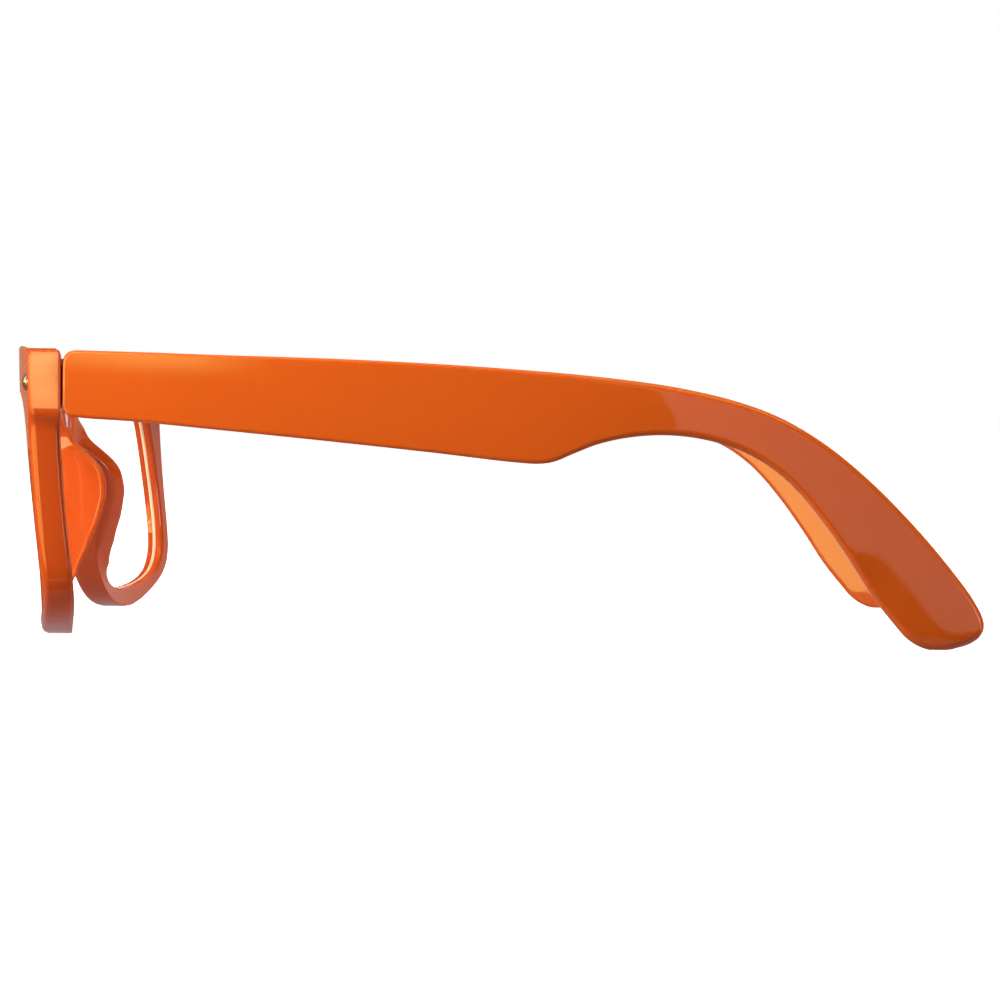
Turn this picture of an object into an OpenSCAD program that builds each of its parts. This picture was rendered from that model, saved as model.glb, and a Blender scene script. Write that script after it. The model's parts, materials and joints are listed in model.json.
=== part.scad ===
/* [Front] */
// Radius of the ball that the front's face is part of
base_r = 256; // [252:1:260]
// Depth of the front, face to back
front_t = 4.05; // [3.9:0.05:4.3]
// Lean of the front, in degrees: its top is further forward than its bottom
lean = 5.4; // [5.1:0.1:5.7]
// Inward slope of the nose pads' bearing faces, in degrees
pad_slope = 30; // [24:1:36]

/* [Lenses] */
// Thickness of a lens
lens_t = 1.8; // [1.6:0.1:2.2]
// Depth of a lens's face behind the front's face
lens_set = 0.6; // [0.5:0.1:1]
// How far the rim's groove runs out round the lens
groove = 0.7; // [0.4:0.1:0.9]

/* [Temples] */
// Thickness of a temple at its hinge
temple_t = 3.6; // [3.4:0.1:4]
// Thickness of a temple at its tip
tip_t = 3.2; // [2.8:0.1:3.6]
// Slit between the front and a temple's square front end
slit = 0.3; // [0.2:0.05:0.4]

/* [Hinges] */
// Distance of each hinge's pivot from the middle of the front
pivot_x = 54.6; // [54.5:0.1:54.8]
// Distance of the pivot behind the front's flat back at its ends
pivot_y = 2.2; // [2.1:0.1:2.4]
// Height of the lowest barrel's underside
barrel_z = 32.2; // [32:0.1:32.4]
// Outer radius of a barrel
barrel_r = 1.4; // [1.3:0.05:1.45]
// Height of one of the five barrels
barrel_h = 1.1; // [1:0.05:1.15]
// Gap between barrels
barrel_gap = 0.1; // [0.06:0.01:0.12]
// Radius of the pivot screw's shank
screw_r = 0.68; // [0.6:0.02:0.7]
// Radial clearance of the shank in the temple's barrels
pivot_play = 0.04; // [0.02:0.01:0.08]

/* [Rivets] */
// Radius of a rivet's domed head
rivet_r = 1.2; // [1:0.05:1.4]
// Height of the dome
rivet_h = 0.5; // [0.4:0.05:0.7]
// Distance of a rivet from the middle of the front
rivet_x = 57.6; // [57:0.1:58]
// Height of a rivet on the front
rivet_z = 35; // [34.4:0.1:35.6]

/* [Hidden] */
$fn = 64;
orange = [0.93, 0.36, 0.08];
steel = [0.78, 0.78, 0.8];
clear = [0.86, 0.92, 0.98, 0.35];

// The middle of the whole depth, from the bridge to the temple tips
y_mid = 56.1;
// Where the front stands: its face's foot, before it leans back
front_y = -8.76;
front_z = -0.6;
// Height of the face's foremost level, measured up the leaning front
bow_z = 19;

// Right half of the front's outline seen from the front, from the middle of the bridge's top round to the top of the nose arch
half = [[0, 36], [6, 36.3], [14, 37.4], [24, 38.8], [34, 39.65], [42, 39.9], [50, 39.8], [56, 39.55],
        [59.4, 39.4], [60.35, 39.28], [60.78, 38.95], [60.9, 38.3], [60.9, 37], [60.9, 33], [60.88, 31.9],
        [60.62, 31], [60.3, 30.1], [60.12, 29], [60, 25], [59.9, 20], [59.8, 15], [59.5, 11],
        [58.9, 8.4], [57.4, 6], [54.9, 4.15], [51, 2.6], [45.6, 1.35], [40, 0.45], [33.5, -0.08],
        [27.5, 0.4], [22.6, 1.7], [18.8, 3.9], [15.7, 7], [12.9, 10.45], [10.5, 13.9],
        [8.6, 17.9], [7.2, 21.85], [5.6, 24.85], [3, 26.8], [0, 27.4]];
// One eye opening on the upright front, clockwise from the upper corner beside the nose
eye = [[9.6, 29.45], [12, 31.85], [17, 33.05], [26, 33.5], [36, 33.5], [45, 33], [50.2, 31.8],
       [53.6, 29.4], [55.2, 25.5], [56.2, 20.5], [56.7, 15.5], [56.5, 11], [55.2, 7.6],
       [52.4, 5.2], [48.2, 3.8], [43, 3.1], [36, 2.85], [29.5, 3.05], [24, 4.3], [19.9, 7.1],
       [16.8, 10.7], [14.1, 14.5], [11.8, 18.7], [10.1, 23.2], [9.2, 26.7]];
// Crest of a nose pad, seen from the side: height and depth
crest = [[7.2, -4.1], [9, -3.45], [11, -2.65], [13, -1.95], [15, -1.3], [17, -0.85], [19, -0.6],
         [20.6, -0.8], [22, -1.3], [23, -2], [24, -2.9], [25, -3.9], [26.4, -5.2], [28.2, -6.4]];
// Distance of that crest from the middle, by height
crest_x = [[7, 19.3], [10.4, 16.6], [14.2, 14], [18.4, 11.8], [23, 10], [26, 9.2], [29, 8.8]];
// A temple seen from the side, clockwise from its upper front corner: depth and height
profile = [[0.6, 38.6], [1.3, 39.1], [5, 39.15], [20, 38.8], [40, 38.3], [58, 37.4], [72, 36.3], [82, 35],
           [90, 33.2], [96, 31], [102, 27.5], [108, 22.7], [114, 16.8], [119, 11.1], [122.4, 6.6],
           [123.7, 4], [123.7, 2.6], [122.5, 1.1], [120.2, 0.25], [117.5, -0.15], [115.3, 0.3],
           [113.4, 1.4], [111.4, 3.6], [108.6, 7.1], [105.2, 12.3], [101.2, 17.8], [97.2, 22.3],
           [93.2, 25.3], [89, 27.2], [84.5, 28.3], [80, 28.65], [75.5, 28.3], [71.5, 27.4],
           [68.2, 26.1], [65.6, 25], [63.6, 24.7], [60, 24.9], [50, 26], [35, 27.5], [20, 28.9],
           [10, 29.8], [2, 30.35], [0.9, 30.7], [0.3, 31.6], [0.3, 32.6], [0.3, 36.6],
           [0.3, 37.6]];
// A temple's outer face seen from above: depth and distance from the middle
sweep = [[-1, 60.6], [20, 60.4], [40, 59.9], [60, 59.1], [80, 57.7], [95, 55.9], [110, 53.4],
         [125, 50.4]];

// Point at t on the line that is at p when t = a and at q when t = b
function on(p, q, a, b, t) = p * ((b - t) / (b - a)) + q * ((t - a) / (b - a));
// Point on the smooth curve from p1 to p2, at share u of the way
function smooth(p0, p1, p2, p3, u) =
    let (t1 = sqrt(norm(p1 - p0)), t2 = t1 + sqrt(norm(p2 - p1)), t3 = t2 + sqrt(norm(p3 - p2)),
         t = t1 + (t2 - t1) * u,
         a1 = on(p0, p1, 0, t1, t), a2 = on(p1, p2, t1, t2, t), a3 = on(p2, p3, t2, t3, t))
    on(on(a1, a2, 0, t2, t), on(a2, a3, t1, t3, t), t1, t2, t);
// Closed smooth curve through the points p, with n steps between neighbours
function loop(p, n) = let (c = len(p))
    [for (i = [0 : c - 1], k = [0 : n - 1])
        smooth(p[(i + c - 1) % c], p[i], p[(i + 1) % c], p[(i + 2) % c], k / n)];
// Open smooth curve through the points p
function run(p, n) = let (c = len(p))
    [for (i = [0 : c - 2], k = [0 : n - 1])
        smooth(i > 0 ? p[i - 1] : 2 * p[0] - p[1], p[i], p[i + 1],
               i < c - 2 ? p[i + 2] : 2 * p[c - 1] - p[c - 2], k / n),
     p[c - 1]];
// A clockwise closed curve moved outwards by d
function grown(p, d) = let (c = len(p))
    [for (i = [0 : c - 1]) let (v = p[(i + 1) % c] - p[(i + c - 1) % c])
        p[i] + [-v[1], v[0]] * (d / norm(v))];

outline = loop([for (p = half) p, for (i = [len(half) - 2 : -1 : 1]) [-half[i][0], half[i][1]]], 2);
opening = loop(eye, 3);

// Moves the built part to its own origin, under the middle of its box
module placed() translate([0, -y_mid, 0]) children();
// Stands the upright front on its place and leans it
module leant() translate([0, front_y, front_z]) rotate([lean, 0, 0]) children();
// A drawing of the front, seen from behind, made into a block through the front's depth
module through(p) translate([0, 24, 0]) rotate([90, 0, 0]) linear_extrude(44) polygon(p);
// Everything behind a surface that lies off behind the front's face
module behind(off) translate([0, base_r, bow_z]) sphere(r = base_r - off, $fn = 256);
// The table: what is below it is planed flat
module table() translate([-100, -60, -20]) cube([200, 240, 20]);
module right_of(s) mirror([s < 0 ? 1 : 0, 0, 0]) children();

module pad_crest() {
    pts = run(crest, 2);
    translate([11, 0, 0]) rotate([0, 0, pad_slope]) translate([-16, 0, 0])
        rotate([90, 0, 90]) linear_extrude(32)
            polygon([for (p = pts) [(p[1] - (lookup(p[0], crest_x) - 11) * tan(pad_slope)) * cos(pad_slope), p[0]],
                     [-20, 28.2], [-20, 7.2]]);
}

module end_block() translate([0, 0, 30.9]) linear_extrude(8)
    polygon([[46.5, -3.2], [50.4, 0], [62, 0], [62, -8], [46.5, -8]]);

// What lies behind the flat back that a temple's square end closes against
module butt() translate([46.5, 0, 29.8]) cube([20, 10, 12]);

module rivet_place() leant()
    let (rise = asin((rivet_z - bow_z) / base_r))
    translate([0, base_r, bow_z]) rotate([0, 0, asin(rivet_x / (base_r * cos(rise)))])
        rotate([-rise, 0, 0]) translate([0, -base_r, 0]) rotate([90, 0, 0]) children();

module front_leaf_body(play) {
    zt = 5 * barrel_h + 4 * barrel_gap;
    translate([50.8 - play, -0.5 - play, barrel_z - play])
        cube([5 + 2 * play, 1.1 + play, zt + 2 * play]);
    for (z = [1.3, zt - 1.3]) translate([53.3, -0.4, barrel_z + z]) rotate([90, 0, 0])
        cylinder(r = 0.6 + play, h = 1.7 + play, $fn = 32);
}

module front_frame() color(orange) placed() difference() {
    union() {
        difference() {
            intersection() { through(outline); leant() behind(0); }
            leant() behind(front_t);
        }
        intersection() {
            intersection() { through(outline); leant() behind(0); }
            union() for (s = [1, -1]) right_of(s) { pad_crest(); end_block(); }
        }
    }
    for (s = [1, -1]) right_of(s) {
        leant() through(opening);
        leant() difference() {
            intersection() { through(grown(opening, groove)); behind(lens_set - 0.03); }
            behind(lens_set + lens_t + 0.03);
        }
        front_leaf_body(0.01);
        butt();
        rivet_place() translate([0, 0, -2.3]) cylinder(r = 0.61, h = 4, $fn = 32);
    }
    table();
}

module lens() placed() leant() difference() {
    intersection() { through(grown(opening, groove - 0.05)); behind(lens_set); }
    behind(lens_set + lens_t);
}
module left_lens() color(clear) lens();
module right_lens() color(clear) mirror([1, 0, 0]) lens();

module leaf_pocket(play) {
    translate([56.4, 1.1 - play, barrel_z + 0.45 - play])
        cube([1 + play, 9 + play, 5 + 2 * play]);
    translate([56.4, 10.1, barrel_z + 2.95]) rotate([0, 90, 0]) cylinder(r = 2.5 + play, h = 1 + play);
    for (y = [4.6, 9.4]) translate([57.3, y, barrel_z + 2.95]) rotate([0, 90, 0])
        cylinder(r = 0.6 + play, h = 1.7 + play, $fn = 32);
}

module temple() placed() difference() {
    intersection() {
        translate([40, 0, 0]) rotate([90, 0, 90]) linear_extrude(24)
            polygon([for (p = loop(profile, 2)) [p[0] + slit - 0.3, p[1]]]);
        translate([0, 0, -2]) linear_extrude(44)
            let (o = run(sweep, 4))
            polygon([for (p = o) [p[1], p[0]],
                     for (i = [len(o) - 1 : -1 : 0])
                         [o[i][1] - (temple_t + (tip_t - temple_t) * o[i][0] / 124), o[i][0]]]);
    }
    leaf_pocket(0.01);
    table();
}
module left_temple() color(orange) temple();
module right_temple() color(orange) mirror([1, 0, 0]) temple();

// Underside of barrel k, of the five that the screw runs through
function barrel_at(k) = barrel_z + k * (barrel_h + barrel_gap);
module pin_hole(r) translate([pivot_x, pivot_y, barrel_z - 1]) cylinder(r = r, h = 10, $fn = 48);

module front_leaf() placed() {
    difference() {
        union() {
            front_leaf_body(0);
            for (k = [0, 2, 4]) {
                translate([pivot_x, pivot_y, barrel_at(k)]) cylinder(r = barrel_r, h = barrel_h, $fn = 48);
                translate([pivot_x - 1.2, 0.3, barrel_at(k)]) cube([2.4, pivot_y - 0.3, barrel_h]);
            }
        }
        pin_hole(screw_r + 0.01);
    }
}
module left_front_hinge_leaf() color(steel) front_leaf();
module right_front_hinge_leaf() color(steel) mirror([1, 0, 0]) front_leaf();

module temple_leaf() placed() {
    difference() {
        union() {
            leaf_pocket(0);
            for (k = [1, 3]) {
                translate([pivot_x, pivot_y, barrel_at(k)]) cylinder(r = barrel_r, h = barrel_h, $fn = 48);
                translate([pivot_x, pivot_y - 1, barrel_at(k)]) cube([56.6 - pivot_x, 2, barrel_h]);
            }
        }
        pin_hole(screw_r + pivot_play);
    }
}
module left_temple_hinge_leaf() color(steel) temple_leaf();
module right_temple_hinge_leaf() color(steel) mirror([1, 0, 0]) temple_leaf();

module hinge_screw() placed() translate([pivot_x, pivot_y, 0]) difference() {
    zt = barrel_at(4) + barrel_h;
    union() {
        translate([0, 0, barrel_z + 0.15]) cylinder(r = screw_r, h = zt - barrel_z - 0.1, $fn = 48);
        translate([0, 0, zt]) cylinder(r = 1.15, h = 0.65, $fn = 48);
    }
    translate([-2, -0.15, zt + 0.35]) cube([4, 0.3, 1]);
}
module left_hinge_screw() color(steel) hinge_screw();
module right_hinge_screw() color(steel) mirror([1, 0, 0]) hinge_screw();

module front_rivet() placed() rivet_place() {
    dome_r = (rivet_r * rivet_r + rivet_h * rivet_h) / (2 * rivet_h);
    union() {
        intersection() {
            translate([0, 0, rivet_h - dome_r]) sphere(r = dome_r);
            translate([0, 0, 0.005]) cylinder(r = rivet_r, h = 2, $fn = 48);
        }
        translate([0, 0, -2.2]) cylinder(r = 0.6, h = 2.3, $fn = 32);
    }
}
module left_front_rivet() color(steel) front_rivet();
module right_front_rivet() color(steel) mirror([1, 0, 0]) front_rivet();

front_frame();
left_lens();
right_lens();
left_temple();
right_temple();
left_front_hinge_leaf();
right_front_hinge_leaf();
left_temple_hinge_leaf();
right_temple_hinge_leaf();
left_hinge_screw();
right_hinge_screw();
left_front_rivet();
right_front_rivet();
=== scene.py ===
import json
import math

import bmesh
import bpy
import numpy as np
from mathutils import Matrix, Vector
from mathutils.geometry import delaunay_2d_cdt
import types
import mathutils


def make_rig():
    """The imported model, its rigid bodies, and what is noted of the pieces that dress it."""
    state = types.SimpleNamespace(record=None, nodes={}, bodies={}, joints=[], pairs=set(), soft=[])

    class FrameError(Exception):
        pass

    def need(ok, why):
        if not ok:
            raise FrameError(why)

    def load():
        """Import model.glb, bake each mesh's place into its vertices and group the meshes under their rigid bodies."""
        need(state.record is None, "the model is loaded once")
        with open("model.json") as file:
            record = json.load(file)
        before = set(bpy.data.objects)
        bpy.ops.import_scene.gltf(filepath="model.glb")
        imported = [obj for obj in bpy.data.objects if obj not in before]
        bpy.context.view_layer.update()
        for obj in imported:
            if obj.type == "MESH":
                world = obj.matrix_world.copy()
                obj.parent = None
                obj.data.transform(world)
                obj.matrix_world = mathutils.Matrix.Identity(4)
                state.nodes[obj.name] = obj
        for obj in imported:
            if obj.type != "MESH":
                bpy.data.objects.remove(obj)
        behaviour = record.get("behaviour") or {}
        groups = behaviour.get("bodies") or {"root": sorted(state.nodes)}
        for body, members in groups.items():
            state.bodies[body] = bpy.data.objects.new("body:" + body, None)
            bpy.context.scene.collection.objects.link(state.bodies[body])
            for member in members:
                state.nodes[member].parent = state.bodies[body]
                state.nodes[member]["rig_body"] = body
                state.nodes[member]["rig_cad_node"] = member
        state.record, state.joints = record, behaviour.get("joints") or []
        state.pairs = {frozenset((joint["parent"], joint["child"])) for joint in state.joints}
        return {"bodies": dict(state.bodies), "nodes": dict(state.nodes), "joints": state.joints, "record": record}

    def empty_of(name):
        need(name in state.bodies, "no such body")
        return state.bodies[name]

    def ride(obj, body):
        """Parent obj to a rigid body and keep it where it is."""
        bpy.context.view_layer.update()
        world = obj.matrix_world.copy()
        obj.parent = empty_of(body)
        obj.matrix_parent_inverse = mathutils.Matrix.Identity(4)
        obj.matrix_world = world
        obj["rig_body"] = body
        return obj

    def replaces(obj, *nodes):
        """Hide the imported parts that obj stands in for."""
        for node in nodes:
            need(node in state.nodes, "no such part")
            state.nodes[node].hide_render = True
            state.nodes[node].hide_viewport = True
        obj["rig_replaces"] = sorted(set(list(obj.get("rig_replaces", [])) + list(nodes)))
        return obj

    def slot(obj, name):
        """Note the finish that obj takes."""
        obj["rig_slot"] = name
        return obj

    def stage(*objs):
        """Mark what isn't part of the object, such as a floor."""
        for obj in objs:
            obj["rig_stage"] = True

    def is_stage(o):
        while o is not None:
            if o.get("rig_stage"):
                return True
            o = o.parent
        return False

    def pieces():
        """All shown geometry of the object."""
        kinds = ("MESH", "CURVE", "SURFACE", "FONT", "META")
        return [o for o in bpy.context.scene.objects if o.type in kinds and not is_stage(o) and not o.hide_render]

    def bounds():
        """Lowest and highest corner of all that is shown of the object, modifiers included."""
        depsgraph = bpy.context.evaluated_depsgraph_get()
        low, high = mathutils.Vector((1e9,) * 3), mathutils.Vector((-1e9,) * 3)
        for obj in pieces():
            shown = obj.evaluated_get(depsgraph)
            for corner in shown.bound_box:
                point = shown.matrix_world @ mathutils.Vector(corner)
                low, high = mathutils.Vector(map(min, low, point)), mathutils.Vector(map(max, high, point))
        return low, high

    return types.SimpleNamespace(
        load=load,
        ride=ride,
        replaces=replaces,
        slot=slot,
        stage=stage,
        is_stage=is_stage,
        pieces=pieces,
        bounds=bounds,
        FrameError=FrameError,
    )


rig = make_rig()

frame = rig.load()
cad_box = [[float(v) for v in corner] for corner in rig.bounds()]
scene = bpy.context.scene

# ---------------------------------------------------------------------------
# Sizes shared with the CAD part, in millimetres
# ---------------------------------------------------------------------------
Y_MID = 56.1             # the part's own origin lies this far behind the endpieces' flat back
BALL_R, BOW_Z = 256.0, 19.0  # the front's face is part of a ball
FRONT_T = 4.05           # depth of the front
LEAN = math.radians(5.4)
FRONT_Y, FRONT_Z = -8.76, -0.6
PAD_SLOPE = math.tan(math.radians(30))
LENS_SET, LENS_T, GROOVE = 0.6, 1.8, 0.7
TEMPLE_T, TIP_T = 3.6, 3.2
RIVET_X, RIVET_Z, RIVET_R, RIVET_H = 57.6, 35.0, 1.2, 0.5

HALF = [(0, 36), (6, 36.3), (14, 37.4), (24, 38.8), (34, 39.65), (42, 39.9), (50, 39.8), (56, 39.55),
        (59.4, 39.4), (60.35, 39.28), (60.78, 38.95), (60.9, 38.3), (60.9, 37), (60.9, 33), (60.92, 31.1),
        (60.72, 30.3), (60.33, 29.7), (60.12, 28.8), (60, 25), (59.9, 20), (59.8, 15), (59.5, 11),
        (58.9, 8.4), (57.4, 6), (54.9, 4.15), (51, 2.6), (45.6, 1.35), (40, 0.45), (33.5, -0.08),
        (27.5, 0.4), (22.6, 1.7), (18.8, 3.9), (15.7, 7), (12.9, 10.45), (10.5, 13.9),
        (8.6, 17.9), (7.2, 21.85), (5.6, 24.85), (3, 26.8), (0, 27.4)]
EYE = [(9.6, 29.45), (12, 31.85), (17, 33.05), (26, 33.5), (36, 33.5), (45, 33), (50.2, 31.8),
       (53.6, 29.4), (55.2, 25.5), (56.2, 20.5), (56.7, 15.5), (56.5, 11), (55.2, 7.6),
       (52.4, 5.2), (48.2, 3.8), (43, 3.1), (36, 2.85), (29.5, 3.05), (24, 4.3), (19.9, 7.1),
       (16.8, 10.7), (14.1, 14.5), (11.8, 18.7), (10.1, 23.2), (9.2, 26.7)]
CREST = [(7.2, -4.1), (9, -3.6), (11, -2.85), (13, -2.2), (15, -1.5), (17, -1.0), (19, -0.7),
         (20.6, -0.8), (22, -1.15), (23, -1.75), (24, -2.6), (25, -3.65), (26.4, -5.2), (28.2, -6.45)]
CREST_X = [(7, 17.5), (10.4, 14.8), (14.2, 12.1), (18.4, 9.9), (23, 8.4), (26, 7.9), (29, 7.7)]
PROFILE = [(0.6, 38.6), (1.3, 39.1), (5, 39.15), (20, 38.8), (40, 38.3), (58, 37.4), (72, 36.3), (82, 35),
           (90, 33.2), (96, 31), (102, 27.5), (108, 22.7), (114, 16.8), (119, 11.1), (122.4, 6.6),
           (123.7, 4), (123.7, 2.6), (122.5, 1.1), (120.2, 0.25), (117.5, -0.15), (115.3, 0.3),
           (113.4, 1.4), (111.4, 3.6), (108.6, 7.1), (105.2, 12.3), (101.2, 17.8), (97.2, 22.3),
           (93.2, 25.3), (89, 27.2), (84.5, 28.3), (80, 28.65), (75.5, 28.3), (71.5, 27.4),
           (68.2, 26.1), (65.6, 25), (63.6, 24.7), (60, 24.9), (50, 26), (35, 27.5), (20, 28.9),
           (10, 29.8), (2, 30.35), (0.9, 30.7), (0.25, 31.6), (0.25, 32.6), (0.25, 36.6), (0.25, 37.6)]
SWEEP = [(-1, 60.6), (20, 60.4), (40, 59.9), (60, 59.1), (80, 57.7), (95, 55.9), (110, 53.4),
         (125, 50.4)]


# ---------------------------------------------------------------------------
# Curves
# ---------------------------------------------------------------------------
def span(p0, p1, p2, p3, n):
    """n points on the smooth curve from p1 towards p2."""
    t1 = math.sqrt(np.linalg.norm(p1 - p0))
    t2 = t1 + math.sqrt(np.linalg.norm(p2 - p1))
    t3 = t2 + math.sqrt(np.linalg.norm(p3 - p2))
    t = (t1 + (t2 - t1) * np.arange(n) / n)[:, None]

    def on(p, q, a, b):
        return p * ((b - t) / (b - a)) + q * ((t - a) / (b - a))

    a1, a2, a3 = on(p0, p1, 0, t1), on(p1, p2, t1, t2), on(p2, p3, t2, t3)
    return on(on(a1, a2, 0, t2), on(a2, a3, t1, t3), t1, t2)


def closed(points, soft=0.35):
    """A closed curve through the points, every 0.05 mm or so, with its bends eased over about soft mm."""
    p = np.array(points, float)
    c = len(p)
    q = np.concatenate([span(p[i - 1], p[i], p[(i + 1) % c], p[(i + 2) % c], 60) for i in range(c)])
    q = even(q, 0.05)
    k = max(1, int(round(2 * (soft / 0.05) ** 2 / 8)))
    for _ in range(8):  # box filters of growing number come close to a bell curve
        w = int(math.sqrt(k)) + 1
        q = sum(np.roll(q, j, 0) for j in range(-w, w + 1)) / (2 * w + 1)
    return q


def opened(points, n=40):
    p = np.array(points, float)
    p = np.concatenate([[2 * p[0] - p[1]], p, [2 * p[-1] - p[-2]]])
    q = np.concatenate([span(p[i - 1], p[i], p[i + 1], p[i + 2], n) for i in range(1, len(p) - 2)])
    return np.concatenate([q, [p[-2]]])


def even(q, step, bend=0.0):
    """The closed curve q with a point about every step mm, closer where it bends."""
    d = np.roll(q, -1, 0) - q
    length = np.linalg.norm(d, axis=1)
    weight = length.copy()
    if bend:
        angle = np.arctan2(d[:, 1], d[:, 0])
        turn = (np.roll(angle, -1) - angle + math.pi) % (2 * math.pi) - math.pi
        kappa = np.abs(turn) / np.maximum(length, 1e-9)
        for _ in range(12):
            kappa = (np.roll(kappa, 1) + kappa + np.roll(kappa, -1)) / 3
        weight = length * (1 + bend * kappa)
    s = np.concatenate([[0], np.cumsum(weight)])
    n = max(8, int(round(s[-1] / step)))
    at = np.arange(n) * s[-1] / n
    closing = np.concatenate([q, q[:1]])
    return np.stack([np.interp(at, s, closing[:, 0]), np.interp(at, s, closing[:, 1])], 1)


def area(q):
    r = np.roll(q, -1, 0)
    return float((q[:, 0] * r[:, 1] - r[:, 0] * q[:, 1]).sum() / 2)


def turned(q, ccw=True):
    return q if (area(q) > 0) == ccw else q[::-1].copy()


def inward(q):
    """Unit normals to the left of a closed curve: into the material, with the outer curve anticlockwise and holes clockwise."""
    t = np.roll(q, -1, 0) - np.roll(q, 1, 0)
    t /= np.maximum(np.linalg.norm(t, axis=1), 1e-9)[:, None]
    return np.stack([-t[:, 1], t[:, 0]], 1)


def inside(points, loops):
    odd = np.zeros(len(points), bool)
    for q in loops:
        r = np.roll(q, -1, 0)
        for i in range(0, len(q), 256):
            a, b = q[i:i + 256], r[i:i + 256]
            ya, yb = a[None, :, 1], b[None, :, 1]
            py = points[:, 1:2]
            hit = (ya > py) != (yb > py)
            with np.errstate(divide="ignore", invalid="ignore"):
                x = a[None, :, 0] + (py - ya) * (b[None, :, 0] - a[None, :, 0]) / (yb - ya)
            odd ^= ((hit & (points[:, 0:1] < x)).sum(1) % 2).astype(bool)
    return odd


def smoothstep(a, b, x):
    t = np.clip((x - a) / (b - a), 0, 1)
    return t * t * (3 - 2 * t)


def filled(loops, step):
    """Inner points and triangles that fill the space between closed curves. Triangles count the curves' points first."""
    ring = np.concatenate(loops)
    lo, hi = ring.min(0), ring.max(0)
    rows = np.arange(lo[1], hi[1], step * 0.866)
    grid = np.concatenate([np.stack([np.arange(lo[0] + (k % 2) * step / 2, hi[0], step),
                                     np.full(len(np.arange(lo[0] + (k % 2) * step / 2, hi[0], step)), y)], 1)
                           for k, y in enumerate(rows)])
    grid = grid[inside(grid, loops)]
    near = np.full(len(grid), 1e9)
    for i in range(0, len(ring), 200):
        d = grid[:, None, :] - ring[None, i:i + 200, :]
        near = np.minimum(near, (d * d).sum(2).min(1))
    grid = grid[near > (0.62 * step) ** 2]
    points = np.concatenate([ring, grid])
    edges, at = [], 0
    for q in loops:
        edges += [(at + i, at + (i + 1) % len(q)) for i in range(len(q))]
        at += len(q)
    out = delaunay_2d_cdt([Vector(p) for p in points], edges, [], 0, 1e-7)
    if len(out[0]) != len(points):
        raise RuntimeError("the curves cross or repeat a point: %d and %d" % (len(out[0]), len(points)))
    source = [o[0] for o in out[3]]
    tris = np.array([[source[i] for i in f] for f in out[2] if len(f) == 3])
    tris = tris[inside(points[tris].mean(1), loops)]
    return grid, tris


# ---------------------------------------------------------------------------
# A moulded body between two faces, its edges rounded
# ---------------------------------------------------------------------------
def moulded(*args, **more):
    """The body, with a narrow band of face beside each rounded edge as far as the curves leave room for it."""
    for bands in ((0.1, 0.1), (0.1, 0.04), (0.04, 0.1), (0.04, 0.04), (0.1, 0.0), (0.0, 0.1), (0.04, 0.0), (0.0, 0.04)):
        try:
            return banded(bands, *args, **more)
        except RuntimeError:
            continue
    return banded((0.0, 0.0), *args, **more)


def banded(bands, name, loops, top, bottom, round_top, round_bottom, place, step, walls=None, steps=7, leant=None, draw=None):
    """loops are closed curves, the outer one anticlockwise and the holes clockwise. top(p) and bottom(p) give how deep the two faces lie
    at points p. round_top(p, li) and round_bottom(p, li) give the radius of loop li's edge there. walls is, for each loop, a list of
    (share, outset): extra rings on the wall, at that share of the way down, moved out of the opening by outset. leant is (loops,
    top, bottom, convert) for loops that are drawn on the leaning front and cut at a right angle to it. draw(p) is how
    much the outer curve's wall comes in on its way to the bottom face."""
    verts, faces, firsts, lasts, count = [], [], [], [], 0
    for li, q in enumerate(loops):
        n = inward(q)
        at_an_angle = leant is not None and li in leant[0]
        up, down = (leant[1], leant[2]) if at_an_angle else (top, bottom)
        rt, rb = round_top(q, li)[:, None], round_bottom(q, li)[:, None]
        slant = (draw(q) if draw and li == 0 else np.zeros(len(q)))[:, None]
        way = np.sign((down(q) - up(q)).mean())
        rings = [(q + n * (rt + bands[0]), up(q + n * (rt + bands[0])))] if bands[0] else []
        for k in range(steps + 1):
            a = math.pi / 2 * k / steps
            p = q + n * rt * (1 - math.sin(a))
            rings.append((p, up(p) + way * rt[:, 0] * (1 - math.cos(a))))
        z0, z1 = rings[-1][1], down(q) - way * rb[:, 0]
        extra = (walls or {}).get(li) or [(s, 0.0) for s in (0.015, 0.17, 0.33, 0.5, 0.67, 0.83, 0.985)]
        for share, out in extra:
            depth = z0 + (z1 - z0) * share if share <= 1 else up(q) + way * (share - 10)
            rings.append((q + n * (out + slant * (share if share <= 1 else 0) ** 2), depth))
        for k in range(steps, -1, -1):
            a = math.pi / 2 * k / steps
            p = q + n * (slant + rb * (1 - math.sin(a)))
            rings.append((p, down(p) - way * rb[:, 0] * (1 - math.cos(a))))
        if bands[1]:
            rings.append((q + n * (slant + rb + bands[1]), down(q + n * (slant + rb + bands[1]))))
        if at_an_angle:
            rings = [leant[3](p, z) for p, z in rings]
        m = len(q)
        for k, (p, z) in enumerate(rings):
            verts.append(np.concatenate([p, z[:, None]], 1))
        for k in range(len(rings) - 1):
            a, b = count + k * m, count + (k + 1) * m
            i = np.arange(m)
            j = (i + 1) % m
            faces.append(np.stack([a + i, a + j, b + j, b + i], 1))
        firsts.append((count, rings[0][0]))
        count += len(rings) * m
        lasts.append((count - m, rings[-1][0]))
    quads = np.concatenate(faces)
    tris = []
    for ends, depth in ((firsts, top), (lasts, bottom)):
        grid, t = filled([p for _, p in ends], step)
        index = np.concatenate([np.arange(s, s + len(p)) for s, p in ends] + [np.arange(count, count + len(grid))])
        verts.append(np.concatenate([grid, depth(grid)[:, None]], 1))
        tris.append(index[t])
        count += len(grid)
    co = place(np.concatenate(verts))
    return made(name, co, [list(map(int, f)) for f in quads] + [list(map(int, f)) for t in tris for f in t])


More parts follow.
